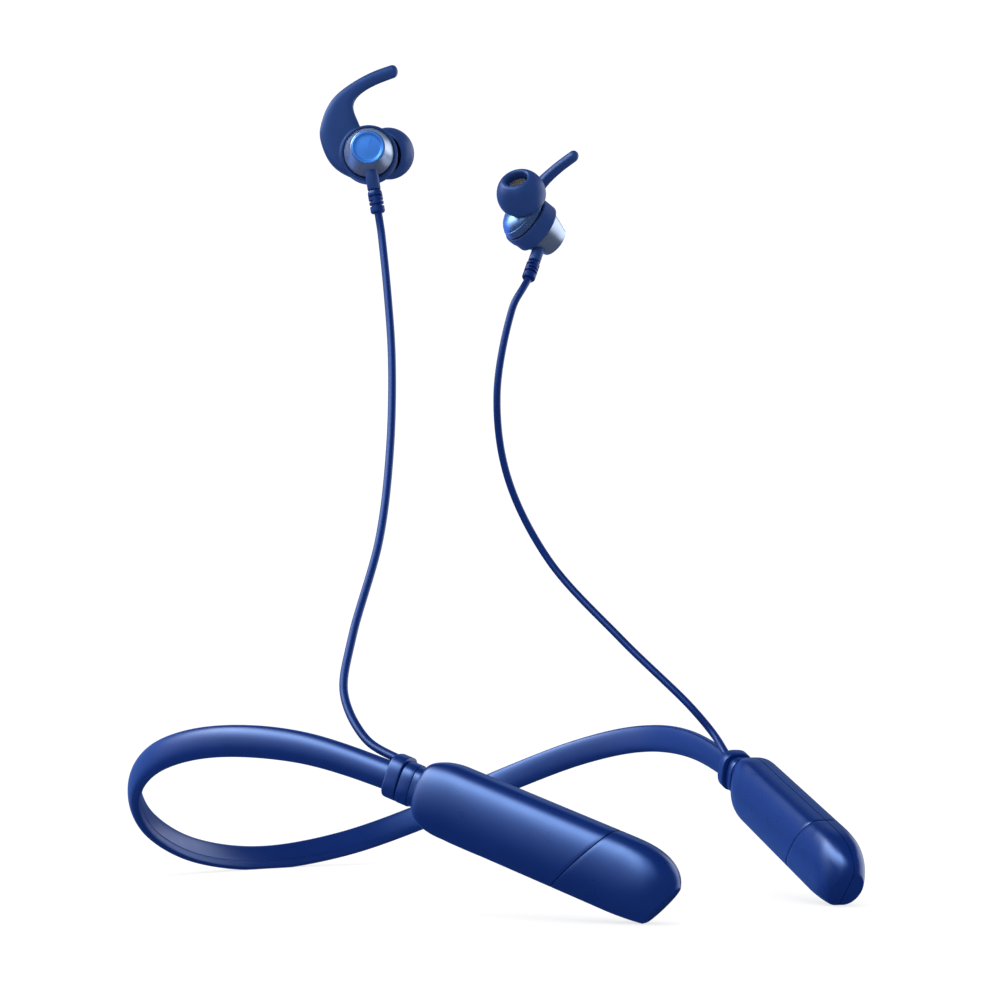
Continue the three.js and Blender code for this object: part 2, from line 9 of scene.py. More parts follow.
import bmesh
import bpy
import numpy as np
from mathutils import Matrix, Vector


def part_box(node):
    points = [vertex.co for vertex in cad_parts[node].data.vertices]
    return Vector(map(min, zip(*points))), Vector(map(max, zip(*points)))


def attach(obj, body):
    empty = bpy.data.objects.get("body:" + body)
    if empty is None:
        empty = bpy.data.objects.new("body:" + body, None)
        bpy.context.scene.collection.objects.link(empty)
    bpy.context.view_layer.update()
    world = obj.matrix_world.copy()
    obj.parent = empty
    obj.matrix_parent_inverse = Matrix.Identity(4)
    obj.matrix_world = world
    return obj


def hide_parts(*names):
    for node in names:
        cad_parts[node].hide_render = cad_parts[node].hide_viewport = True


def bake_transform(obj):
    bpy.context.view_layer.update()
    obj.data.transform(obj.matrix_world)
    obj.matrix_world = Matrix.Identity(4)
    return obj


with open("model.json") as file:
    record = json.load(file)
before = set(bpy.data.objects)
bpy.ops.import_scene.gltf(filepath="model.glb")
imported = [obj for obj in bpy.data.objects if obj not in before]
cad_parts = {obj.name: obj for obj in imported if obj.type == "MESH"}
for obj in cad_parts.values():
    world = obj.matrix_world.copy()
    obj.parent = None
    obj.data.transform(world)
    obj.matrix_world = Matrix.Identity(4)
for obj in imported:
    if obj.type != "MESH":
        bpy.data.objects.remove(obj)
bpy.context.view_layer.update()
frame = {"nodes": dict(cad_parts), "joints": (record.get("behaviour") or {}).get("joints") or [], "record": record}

MM = 0.001
SIDES = ("left", "right")
JOINTS = {joint["name"]: joint for joint in frame["joints"]}

# ---- Dimensions the looks share with the CAD, in millimetres ----
BAND_WIDTH = 7.1
BAND_END_WIDTH = 6.2
BAND_TAPER = 40.0  # length before the collar over which the band narrows
BAND_CROWN = 1.9
BAND_FLAT = 1.5
STRIP_OFFSET = 0.5  # the spring strip lies this far inside the band's centre line
NECK_MIDDLE = 1.8  # the neck ring's middle, along the pod from the collar's front face
NECK_HALF = (3.4, 4.5)  # half thickness, half width
POD_HALF = (5.2, 7.75)
SHOULDER = (3.85, 11.6)  # where the pod's shoulder starts and ends
SEAM = (42.7, 0.58)  # the slanted seam plane: z = first + second * y
NOSE_FROM = 50.9
NOSE = 12.4
FACET = (62.2, 0.5)  # the end facet's plane, written like the seam's
FACET_EDGE = 0.2  # radius of the edge round the facet
CABLE_RADIUS = 0.95
STEM_END = 9.5  # from the earbud's axis
BOOT_END = 15.2


# ---- Geometry helpers ----
def unit(v):
    v = np.asarray(v, float)
    return v / np.linalg.norm(v)


class Local:
    """A local frame in millimetres. A left-handed one mirrors what is drawn in it."""

    def __init__(self, origin, x, y, z):
        self.origin = np.asarray(origin, float)
        self.basis = np.array([unit(x), unit(y), unit(z)])
        self.mirrored = np.linalg.det(self.basis) < 0

    def place(self, points):
        return self.origin + MM * (np.asarray(points, float) @ self.basis)

    def at(self, origin, z):
        """A frame inside this one, at a point and along a direction of this one's coordinates."""
        z = unit(z)
        x = unit(np.cross((0, 1, 0), z))
        turn = [x, np.cross(z, x), z]
        return Local(self.place(origin), *(np.array(turn) @ self.basis))


ROW = Local((0, 0, 0), (1, 0, 0), (0, 1, 0), (0, 0, 1))


class Shape:
    """Points and faces drawn in a local frame, faces turning anticlockwise seen from outside."""

    def __init__(self):
        self.points = []
        self.faces = []

    def add(self, points, faces):
        start = len(self.points)
        self.points.extend(np.asarray(points, float).tolist())
        self.faces.extend([[start + i for i in face] for face in faces])
        return self

    def loft(self, rings, caps=True):
        """A skin through rings of equal counts that turn anticlockwise about the way they advance."""
        count = len(rings[0])
        faces = []
        for r in range(len(rings) - 1):
            a = r * count
            for i in range(count):
                j = (i + 1) % count
                faces.append([a + i, a + j, a + count + j, a + count + i])
        if caps:
            faces.append(list(range(count))[::-1])
            faces.append([(len(rings) - 1) * count + i for i in range(count)])
        return self.add(np.concatenate(rings), faces)

    def turned(self, profile, segments=72):
        """A body of revolution about z. Its [radius, z] profile runs from low z, outside, to high z."""
        rings = []
        for radius, z in profile:
            angle = 2 * np.pi * np.arange(segments) / segments
            radius = max(radius, 1e-4)
            rings.append(np.column_stack([radius * np.cos(angle), radius * np.sin(angle), np.full(segments, z)]))
        closed = np.allclose(profile[0], profile[-1])
        self.loft(rings, caps=not closed)
        return self

    def piece(self, name, local, sharp=35.0):
        points = local.place(self.points)
        faces = [face[::-1] for face in self.faces] if local.mirrored else self.faces
        mesh = bpy.data.meshes.new(name)
        mesh.from_pydata(points.tolist(), [], faces)
        obj = bpy.data.objects.new(name, mesh)
        bpy.context.scene.collection.objects.link(obj)
        tidy(obj, sharp)
        return obj


def tidy(obj, sharp):
    """Merges doubled points, drops empty faces and smooths the shading except over sharp edges."""
    work = bmesh.new()
    work.from_mesh(obj.data)
    bmesh.ops.remove_doubles(work, verts=work.verts, dist=2e-7)
    bmesh.ops.dissolve_degenerate(work, edges=work.edges, dist=1e-7)
    work.to_mesh(obj.data)
    work.free()
    obj.data.shade_smooth()
    obj.data.set_sharp_from_angle(angle=math.radians(sharp))


def apply_modifiers(obj):
    graph = bpy.context.evaluated_depsgraph_get()
    mesh = bpy.data.meshes.new_from_object(obj.evaluated_get(graph))
    obj.modifiers.clear()
    obj.data = mesh


def boolean(obj, tool, operation="DIFFERENCE", sharp=35.0):
    modifier = obj.modifiers.new("boolean", "BOOLEAN")
    modifier.operation = operation
    modifier.solver = "EXACT"
    modifier.object = tool
    apply_modifiers(obj)
    bpy.data.objects.remove(tool)
    tidy(obj, sharp)
    return obj


def fused(obj, voxel, smoothing):
    """One soft skin round overlapping shapes, with rounded edges and filleted joins."""
    remesh = obj.modifiers.new("remesh", "REMESH")
    remesh.mode = "VOXEL"
    remesh.voxel_size = voxel * MM
    smooth = obj.modifiers.new("smooth", "SMOOTH")
    smooth.factor = 0.5
    smooth.iterations = smoothing
    apply_modifiers(obj)
    obj.data.shade_smooth()
    return obj


def superellipse(half_x, half_y, power, count=64, centre=(0.0, 0.0)):
    angle = 2 * np.pi * (np.arange(count) + 0.5) / count
    c, s = np.cos(angle), np.sin(angle)
    x = centre[0] + half_x * np.sign(c) * np.abs(c) ** (2 / power)
    y = centre[1] + half_y * np.sign(s) * np.abs(s) ** (2 / power)
    return np.column_stack([x, y])


def level(outline, z):
    return np.column_stack([outline, np.full(len(outline), z)])


def spline(knots, values, at):
    """The natural cubic spline through values at the knots."""
    knots, values, at = (np.asarray(a, float) for a in (knots, values, at))
    step = np.diff(knots)
    system = np.eye(len(knots))
    target = np.zeros_like(values)
    for i in range(1, len(knots) - 1):
        system[i, i - 1 : i + 2] = step[i - 1], 2 * (step[i - 1] + step[i]), step[i]
        slope = (values[i + 1] - values[i]) / step[i]
        target[i] = 6 * (slope - (values[i] - values[i - 1]) / step[i - 1])
    bend = np.linalg.solve(system, target)
    k = np.clip(np.searchsorted(knots, at) - 1, 0, len(step) - 1)
    h = step[k][:, None]
    a = (knots[k + 1] - at)[:, None] / h
    b = 1 - a
    return a * values[k] + b * values[k + 1] + ((a**3 - a) * bend[k] + (b**3 - b) * bend[k + 1]) * h * h / 6


def lengths_along(points):
    return np.concatenate([[0], np.cumsum(np.linalg.norm(np.diff(points, axis=0), axis=1))])


# ---- What the CAD frame says ----
def cad_rings(node, start, reach):
    """A swept CAD node's rings of points in order, in millimetres, from the ring within reach of start."""
    mesh = frame["nodes"][node].data
    places = np.array([v.co for v in mesh.vertices]) / MM
    points, index = np.unique(np.round(places, 3), axis=0, return_inverse=True)
    index = np.ravel(index)
    neighbours = [set() for _ in points]
    for edge in mesh.edges:
        a, b = index[edge.vertices[0]], index[edge.vertices[1]]
        neighbours[a].add(b)
        neighbours[b].add(a)
    ring = set(np.flatnonzero(np.linalg.norm(points - start, axis=1) < reach))
    seen = set(ring)
    rings = []
    while ring:
        rings.append(points[sorted(ring)])
        ring = {n for i in ring for n in neighbours[i]} - seen
        seen |= ring
    return rings


def joint_place(name):
    return np.array(JOINTS[name]["pos_m"]) / MM


def middle(node):
    low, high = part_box(node)
    return np.array((low + high) / 2)


def pod_frame(side):
    """x outward through the pod's thickness, y across its width, z along it from the collar's front face."""
    along = unit(middle("volume_down_button") - middle("volume_up_button"))
    outward = np.array(JOINTS["centre_press"]["axis"])
    across = unit(np.cross(along, outward))
    if across[2] < 0:
        across = -across
    if side == "left":
        along, outward, across = (v * (-1, 1, 1) for v in (along, outward, across))
    origin = middle(f"{side}_neck_ring") - NECK_MIDDLE * MM * along
    return Local(origin, outward, across, along)


def bud_frame(side):
    """x forward, y up, z along the body's axis into the ear, from the middle of the sleeve."""
    nozzle = np.array(JOINTS[f"{side}_tip_pull"]["axis"])
    along = unit(JOINTS[f"{side}_wing_turn"]["axis"])
    along = along * np.sign(along @ nozzle)
    up = unit(np.array((0, 0, 1)) - along[2] * along)
    forward = np.cross(up, along)
    forward = forward * np.sign(forward @ nozzle)
    return Local(JOINTS[f"{side}_wing_turn"]["pos_m"], forward, up, along)


def in_bud(local, direction):
    """A row direction in an earbud's coordinates."""
    return unit(local.basis @ np.asarray(direction, float))


def band_line():
    """Knots, centres, wide and outward directions along the whole band, from the right end to the left."""
    rows = []
    for prefix, pivot, backward in (("right", "right", True), ("back", "right", False), ("left", "left", False)):
        start = joint_place(f"{pivot}_arm_flex")
        strips = cad_rings(f"{prefix}_spring_strip", start, 2.8)
        looms = cad_rings(f"{prefix}_wire_loom", start, 2.8)
        rings = list(zip(strips, looms))
        for strip, loom in rings[::-1] if backward else rings:
            outward = unit(loom.mean(0) - strip.mean(0))
            wide = np.linalg.svd(strip - strip.mean(0))[2][0]
            wide = wide * np.sign(wide[2])
            rows.append(np.concatenate([strip.mean(0) + STRIP_OFFSET * outward, wide, outward]))
    rows = np.array(rows)
    knots = lengths_along(rows[:, :3])
    centre = np.interp(0, rows[:, 0], knots) if np.all(np.diff(rows[:, 0]) > 0) else knots[len(knots) // 2]
    return knots - centre, rows


def cable_line(side):
    """Points along a cable's centre line, from inside the collar to the strain relief, and both joints' places."""
    bend = joint_place(f"{side}_cable_bend")
    sway = joint_place(f"{side}_cable_sway")
    root = [ring.mean(0) for ring in cad_rings(f"{side}_cable_root", bend, 2.0)]
    lower = [ring.mean(0) for ring in cad_rings(f"{side}_cable_lower", bend, 2.0)]
    upper = [ring.mean(0) for ring in cad_rings(f"{side}_cable_upper", sway, 2.0)]
    points = np.array(root[::-1] + lower + upper)
    onward = unit(points[-1] - points[-2])
    points = np.vstack([points, points[-1] + 0.9 * onward])
    knots = lengths_along(points)
    nearest = [knots[np.argmin(np.linalg.norm(points - p, axis=1))] for p in (bend, sway)]
    return knots, points, nearest


# ---- Materials ----
class Nodes:
    """A material's node tree, with short calls for the nodes used here."""

    def __init__(self, name):
        self.material = bpy.data.materials.new(name)
        self.material.use_nodes = True
        self.tree = self.material.node_tree
        self.tree.nodes.clear()
        self.place = self.node("ShaderNodeTexCoord").outputs["Object"]

    def node(self, kind, **inputs):
        made = self.tree.nodes.new(kind)
        for name, value in inputs.items():
            self.set(made, name.replace("_", " "), value)
        return made

    def set(self, node, name, value):
        if isinstance(value, bpy.types.NodeSocket):
            self.tree.links.new(value, node.inputs[name])
        else:
            node.inputs[name].default_value = value

    def noise(self, scale, detail=3.0, vector=None):
        made = self.node("ShaderNodeTexNoise", Scale=scale, Detail=detail, Vector=vector or self.place)
        return made.outputs["Fac"]

    def ranged(self, value, low, high, start=0.3, end=0.7):
        made = self.node("ShaderNodeMapRange", Value=value)
        for name, number in (("From Min", start), ("From Max", end), ("To Min", low), ("To Max", high)):
            made.inputs[name].default_value = number
        return made.outputs["Result"]

    def mixed(self, factor, a, b):
        made = self.tree.nodes.new("ShaderNodeMix")
        made.data_type = "RGBA"
        for socket, value in ((made.inputs[0], factor), (made.inputs[6], a), (made.inputs[7], b)):
            if isinstance(value, bpy.types.NodeSocket):
                self.tree.links.new(value, socket)
            else:
                socket.default_value = value
        return made.outputs[2]

    def bump(self, height, distance, strength=1.0):
        made = self.node("ShaderNodeBump", Height=height, Distance=distance, Strength=strength)
        return made.outputs["Normal"]

    def finish(self, **inputs):
        surface = self.node("ShaderNodeBsdfPrincipled", **inputs)
        output = self.tree.nodes.new("ShaderNodeOutputMaterial")
        self.tree.links.new(surface.outputs["BSDF"], output.inputs["Surface"])
        return self.material


def rgb(*values):
    return (*values, 1.0)


def facing(nodes, blend=0.5):
    made = nodes.tree.nodes.new("ShaderNodeLayerWeight")
    made.inputs["Blend"].default_value = blend
    return made.outputs["Facing"]


def dyed(name, colour, roughness, grain, depth, ior=2.0, tint=(0.31, 0.5, 0.93)):
    """Dyed plastic or rubber: a fine moulded grain, slow tone changes, slightly polished patches, and painted shade
    that darkens the colour towards the rim.
    """
    n = Nodes(name)
    dark, lit = (rgb(*(k * c for c in colour)) for k in (0.92, 1.08))
    tone = n.mixed(n.ranged(n.noise(60.0), 0.0, 1.0), dark, lit)
    # Painted shade: the colour darkens to a third towards the rim, where the surface turns away from the eye.
    painted_rim_shade = n.ranged(facing(n, 0.3), 0.0, 0.6, start=0.5, end=0.95)
    tone = n.mixed(painted_rim_shade, tone, rgb(*(0.3 * c for c in colour)))
    rough = n.ranged(n.noise(260.0), roughness - 0.02, roughness + 0.02)
    return n.finish(
        Base_Color=tone,
        Roughness=rough,
        IOR=ior,
        Specular_Tint=rgb(*tint),
        Normal=n.bump(n.noise(grain, detail=4.0), depth * MM, 0.1),
    )


def metal(name, colour, roughness, metallic=1.0):
    """Anodised or plated metal with slow tone changes and slightly polished patches."""
    n = Nodes(name)
    dark, lit = (rgb(*(k * c for c in colour)) for k in (0.96, 1.04))
    tone = n.mixed(n.ranged(n.noise(150.0), 0.0, 1.0), dark, lit)
    rough = n.ranged(n.noise(500.0), roughness * 0.93, roughness * 1.07)
    return n.finish(Base_Color=tone, Metallic=metallic, Roughness=rough)


NAVY = (0.0008, 0.0135, 0.110)
EAR_BLUE = (0.010, 0.032, 0.138)
GREY_TINT = (1.0, 1.0, 1.0)
MATERIALS = {
    "silicone": dyed("silicone", NAVY, 0.32, 1500.0, 0.004),
    "shell": dyed("shell", NAVY, 0.29, 2600.0, 0.002),
    "cable": dyed("cable", NAVY, 0.36, 900.0, 0.0005, 1.6),
    "ear_silicone": dyed("ear_silicone", EAR_BLUE, 0.42, 1500.0, 0.003, 1.6),
    "bright_blue": metal("bright_blue", (0.055, 0.24, 0.78), 0.3, 0.5),
    "silver_blue": metal("silver_blue", (0.46, 0.55, 0.72), 0.3, 0.9),
    "front_blue": metal("front_blue", (0.20, 0.36, 0.70), 0.28, 0.9),
    "steel": metal("steel", (0.56, 0.57, 0.59), 0.28),
    "copper": metal("copper", (0.67, 0.38, 0.19), 0.35),
    "foil": metal("foil", (0.67, 0.68, 0.70), 0.4, 0.7),
    "mesh": metal("mesh", (0.10, 0.085, 0.065), 0.4, 0.5),
    "board": dyed("board", (0.016, 0.12, 0.06), 0.4, 1500.0, 0.004, 1.5, GREY_TINT),
    "black": dyed("black", (0.016, 0.016, 0.018), 0.45, 1500.0, 0.004, 1.5, GREY_TINT),
    "clear": dyed("clear", (0.60, 0.66, 0.74), 0.2, 1500.0, 0.001, 1.5, GREY_TINT),
}


def dressed(obj, look, body, *nodes, slot=None):
    """Gives a piece its material and its body, and hides the CAD nodes it stands for; its slot argument is not used.
    """
    obj.data.materials.clear()
    obj.data.materials.append(MATERIALS[look])
    if body:
        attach(obj, body)
    if nodes:
        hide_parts(*nodes)
    return obj


# ---- Band ----
CREASE_FADE = 70.0  # distance along the left half over which the inner face's crease fades out


def ribbon_outline(half_width, crease_depth):
    """A crowned outer face, and a flat inner face that may have a fine crease near its bottom edge."""
    outer = []
    for angle in np.linspace(-np.pi / 2, np.pi / 2, 29)[1:-1]:
        c, s = math.cos(angle), math.sin(angle)
        outer.append((BAND_CROWN * c**0.95, half_width * math.copysign(abs(s) ** 0.9, s)))
    crease = -0.54 * half_width
    rows = np.concatenate([
        half_width * np.sin(np.linspace(np.pi / 2, -0.5, 22)),
        crease + np.array([0.16, 0.1, 0.0, -0.1, -0.16]),
        half_width * np.sin(np.linspace(-0.62, -np.pi / 2, 12)),
    ])
    inner = []
    for y in rows:
        s = min(1.0, abs(y) / half_width) ** (1 / 0.9)
        x = -BAND_FLAT * max(0.0, 1 - s * s) ** 0.225
        if y < crease:
            x += 0.22 * crease_depth * min(1.0, (crease - y) / 1.2)
        if abs(y - crease) < 0.05:
            x += 0.13 * crease_depth
        inner.append((x, y))
    return np.array(outer + inner)


def ribbon(side, knots, rows):
    end = knots[-1] - 4.5
    places = np.concatenate([np.arange(0, end, 0.75), [end]])
    sign = 1 if side == "left" else -1
    values = spline(knots, rows, places)
    rings = []
    for place, row in zip(places, values):
        centre, wide, outward = row[:3], unit(row[3:6]), unit(row[6:])
        taper = np.clip((place - (end - BAND_TAPER)) / BAND_TAPER, 0, 1)
        taper = taper * taper * (3 - 2 * taper)
        crease = 1.0 if side == "right" else max(0.0, 1 - place / CREASE_FADE)
        outline = ribbon_outline((BAND_WIDTH + (BAND_END_WIDTH - BAND_WIDTH) * taper) / 2, crease)
        ring = centre + outline[:, :1] * outward + outline[:, 1:] * wide
        ring[:, 2] = np.maximum(ring[:, 2], 0.0)
        rings.append(ring)
    local = Local((0, 0, 0), (sign, 0, 0), (0, 1, 0), (0, 0, 1))
    obj = Shape().loft(rings[::-1]).piece(f"{side}_ribbon", local, 50.0)
    nodes = (f"{side}_band", "back_band") if side == "left" else (f"{side}_band",)
    dressed(obj, "silicone", None, *nodes)
    flex = np.linalg.norm(values[:, :3] - joint_place("left_arm_flex"), axis=1).argmin()
    reach = 13  # rings on each side of the flex joint
    start, finish = (local.place(values[flex + k, :3]) for k in (-reach, reach))
    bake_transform(obj)


# ---- Pods ----
def pod_profile():
    """Rows of z, half thickness, bottom and top half widths along the pod's skin."""
    thin, wide = NECK_HALF
    rows = []
    for angle in np.linspace(0, 1.3, 9):
        grow = 1.0 * (1 - math.cos(angle)) - 0.3
        rows.append((2.9 + 1.0 * math.sin(angle), thin + grow, wide + grow, wide + grow))
    start, full = SHOULDER
    for angle in np.linspace(0.3, np.pi / 2, 21):
        grow = math.sin(angle)
        half = wide + 0.1 + grow * (POD_HALF[1] - wide - 0.1)
        thickness = thin + 0.1 + grow * (POD_HALF[0] - thin - 0.1)
        rows.append((start + (full - start) * (1 - math.cos(angle)), thickness, half, half))
    for angle in np.linspace(0, np.pi / 2, 60):
        t = math.sin(angle) * 0.992
        slim = max(0.0, (t - 0.25) / 0.75)
        half = POD_HALF[0] * (1 - slim**2.4) ** (1 / 2.4)
        lower = POD_HALF[1] * (1 - 0.15 * t * t)
        rows.append((NOSE_FROM + NOSE * t, half, lower, POD_HALF[1] * (1 - t**2.5) ** (1 / 2.5)))
    return np.array(rows)


PROFILE = pod_profile()
POWERS = (4.0, 2.0)  # across the thickness and across the width: broad domed faces, flat narrow ones
NOSE_POWERS = (2.2, 2.0)  # the same at the end
GROOVE_COLUMNS = np.array([0.7, 0.4, 0.2, 0.11, 0.08, 0.0, -0.08, -0.11, -0.2, -0.4, -0.7])
GROOVE_DEPTH = 0.16


def outside_pod(x, y, z):
    """Above 1 outside the pod's skin, below 1 inside."""
    thin, bottom, top = (np.interp(z, PROFILE[:, 0], PROFILE[:, k]) for k in (1, 2, 3))
    centre, half = (top - bottom) / 2, (top + bottom) / 2
    towards_end = np.clip((z - NOSE_FROM) / NOSE, 0, 1)
    across, along = (a + (b - a) * towards_end for a, b in zip(POWERS, NOSE_POWERS))
    return np.abs(x / thin) ** across + np.abs((y - centre) / half) ** along


def pod_ring(at, slope, inset=0.0):
    """The skin's outline in the plane z = at + slope * y, with fine columns where the parting line runs."""
    centre = 0.0
    for _ in range(3):  # halfway between the outline's top and bottom in that plane
        ends = [edge_point(np.zeros(1), np.array([s]), centre, at, slope)[0][1] for s in (1.0, -1.0)]
        centre = sum(ends) / 2
    groups = []
    for sign in (1, -1):
        columns = GROOVE_COLUMNS * sign
        low, high = np.zeros(len(columns)), np.full(len(columns), 20.0)
        for _ in range(40):
            mid = (low + high) / 2
            y = centre + sign * mid
            out = outside_pod(columns, y, at + slope * y) > 1
            high = np.where(out, mid, high)
            low = np.where(out, low, mid)
        y = centre + sign * low
        groups.append(np.column_stack([columns, y]))
    points = []
    for sign, group, other in ((1, groups[0], groups[1]), (-1, groups[1], groups[0])):
        points.append(group)
        start = math.atan2(group[-1][1] - centre, group[-1][0])
        finish = math.atan2(other[0][1] - centre, other[0][0])
        if finish < start:
            finish += 2 * math.pi
        angle = np.linspace(start, finish, 44)[1:-1]
        points.append(edge_point(np.cos(angle), np.sin(angle), centre, at, slope))
    outline = np.concatenate(points)
    if inset:
        around = np.roll(outline, -1, 0) - np.roll(outline, 1, 0)
        normal = np.column_stack([around[:, 1], -around[:, 0]])
        normal /= np.linalg.norm(normal, axis=1)[:, None]
        outline = outline - inset * normal
    return np.column_stack([outline, at + slope * outline[:, 1]])


def edge_point(c, s, centre, at, slope):
    """Where rays from (0, centre) leave the skin, in the plane z = at + slope * y."""
    low, high = np.zeros(len(c)), np.full(len(c), 20.0)
    for _ in range(40):
        mid = (low + high) / 2
        y = centre + mid * s
        out = outside_pod(mid * c, y, at + slope * y) > 1
        high = np.where(out, mid, high)
        low = np.where(out, low, mid)
    return np.column_stack([low * c, centre + low * s])


def split_cap(start, count, reverse):
    """Faces that close a pod ring: quads between the top and bottom columns, and the two sides."""
    columns = len(GROOVE_COLUMNS)
    half = count // 2
    top = [start + i for i in range(columns)]
    bottom = [start + half + columns - 1 - i for i in range(columns)]
    faces = [[top[i], top[i + 1], bottom[i + 1], bottom[i]] for i in range(columns - 1)]
    faces.append([start + i for i in range(columns - 1, half + 1)])
    faces.append([start + i for i in range(half + columns - 1, count)] + [start])
    return [face[::-1] for face in faces] if reverse else faces


def groove_in(obj, local):
    """Sinks the columns next to x = 0, which makes the parting line all round the piece."""
    mesh = obj.data
    points = np.array([v.co for v in mesh.vertices])
    normals = np.array([v.normal for v in mesh.vertices])
    across = ((points - local.origin) / MM) @ local.basis.T[:, 0]
    inner = np.abs(across) < 0.09
    inward = normals - np.outer(normals @ local.basis[0], local.basis[0])
    length = np.linalg.norm(inward, axis=1)
    inward[length > 0] /= length[length > 0][:, None]
    moved = points - GROOVE_DEPTH * MM * inward * inner[:, None]
    moved[:, 2] = np.maximum(moved[:, 2], 0.0)
    mesh.vertices.foreach_set("co", moved.ravel())
    mesh.update()
    obj.data.set_sharp_from_angle(angle=math.radians(35))


def pod_part(name, rings, local):
    shape = Shape().loft(rings, caps=False)
    count = len(rings[0])
    shape.faces += split_cap(0, count, reverse=True)
    shape.faces += split_cap((len(rings) - 1) * count, count, reverse=False)
    obj = shape.piece(name, local)
    groove_in(obj, local)
    return obj


def pod(side):
    local = pod_frame(side)
    body = f"{side}_arm"
    rings = [pod_ring(z, 0.0) for z in PROFILE[:30, 0]]
    start, (seam, slope) = PROFILE[29, 0], SEAM
    for t in np.linspace(0, 1, 30)[1:-1]:
        rings.append(pod_ring(start + t * (seam - start), slope * t))
    rings += [pod_ring(seam - 0.24, slope), pod_ring(seam - 0.12, slope, 0.03), pod_ring(seam - 0.07, slope, 0.12)]
    housing = pod_part(f"{side}_housing", rings, local)

    facet, lean = FACET
    rings = [pod_ring(seam - 0.4, slope, 0.5), pod_ring(seam + 0.07, slope, 0.5)]
    rings += [pod_ring(seam + 0.08, slope, 0.12), pod_ring(seam + 0.12, slope, 0.03)]
    for t in np.linspace(0, 1, 64) ** 0.75:
        plane = seam + 0.24 + t * (facet - FACET_EDGE - seam - 0.24)
        rings.append(pod_ring(plane, slope + t * (lean - slope)))
    for angle in np.linspace(0, np.pi / 2, 5)[1:]:
        drop = FACET_EDGE * (1 - math.sin(angle))
        rings.append(pod_ring(facet - drop, lean, FACET_EDGE * (1 - math.cos(angle))))
    tail = pod_part(f"{side}_tail", rings, local)

    if side == "right":
        cut_openings(housing, local)
    dressed(housing, "shell", body, f"{side}_outer_shell", f"{side}_inner_shell")
    dressed(tail, "shell", body, f"{side}_tail_outer", f"{side}_tail_inner")
    neck_and_collar(side, local)


def rounded_bar(half_x, half_y, power, sections, centre=(0.0, 0.0), count=64):
    """A loft along z from rows of z and inset."""
    rings = []
    for z, inset in sections:
        rings.append(level(superellipse(half_x - inset, half_y - inset, power, count, centre), z))
    return Shape().loft(rings)


def edge_steps(at, radius, sign, steps=5):
    """Rows of z and inset that round off an end of a bar at a place; sign is the way the end faces."""
    rows = []
    for angle in np.linspace(0, np.pi / 2, steps):
        rows.append((at - sign * radius * (1 - math.sin(angle)), radius * (1 - math.cos(angle))))
    return rows if sign > 0 else rows[::-1]


def neck_and_collar(side, local):
    body = f"{side}_arm"
    thin, wide = NECK_HALF
    sections = [(-1.6, 0.55), (-0.55, 0.55)]
    sections += edge_steps(-0.55, 0.2, -1, 4) + edge_steps(2.15, 0.12, 1, 3) + [(2.15, 0.22), (3.9, 0.22)]
    neck = rounded_bar(thin, wide, 3.0, sections).piece(f"{side}_neck", local)
    dressed(neck, "shell", body, f"{side}_neck_ring")
    sections = edge_steps(-4.2, 0.7, -1, 6) + edge_steps(-0.85, 0.25, 1, 4)
    collar = rounded_bar(3.9, 4.8, 3.0, sections, (-0.4, 0.3)).piece(f"{side}_collar_sleeve", local, 60.0)
    dressed(collar, "silicone", body, f"{side}_collar")


# ---- Controls and port of the right pod ----
BUTTON = {"half_width": 2.0, "half_length": 2.6, "power": 3.0}
BUTTONS = {"volume_up": 24.0, "centre": 30.5, "volume_down": 37.0}
LIGHT_AT = (17.6, 3.4)  # along and across the pod
PORT_AT = 17.2


def sideways(local, z, y=0.0):
    """The frame of a control in the pod's inner face: its z points out of that face."""
    x, across, along = local.basis
    return Local(local.place((0, y, z)), across, along, -x)


def cut_openings(housing, local):
    for z in BUTTONS.values():
        hole = rounded_bar(BUTTON["half_width"] + 0.25, BUTTON["half_length"] + 0.25, BUTTON["power"],
                           [(1.6, 0.0), (8.0, 0.0)], count=48)
        boolean(housing, hole.piece("hole", sideways(local, z)))
    boolean(housing, Shape().turned([(0.72, 4.4), (0.72, 8.0)], 32).piece("hole", sideways(local, *LIGHT_AT)))
    under = Local(local.place((0, 0, PORT_AT)), local.basis[0], local.basis[2], -local.basis[1])
    pocket = rounded_bar(2.65, 5.75, 4.0, [(7.0, 0.0), (12.0, 0.0)], count=64)
    boolean(housing, pocket.piece("pocket", under))
    opening = rounded_bar(1.95, 4.85, 5.0, [(0.2, 0.0), (9.0, 0.0)], count=64)
    boolean(housing, opening.piece("opening", under))


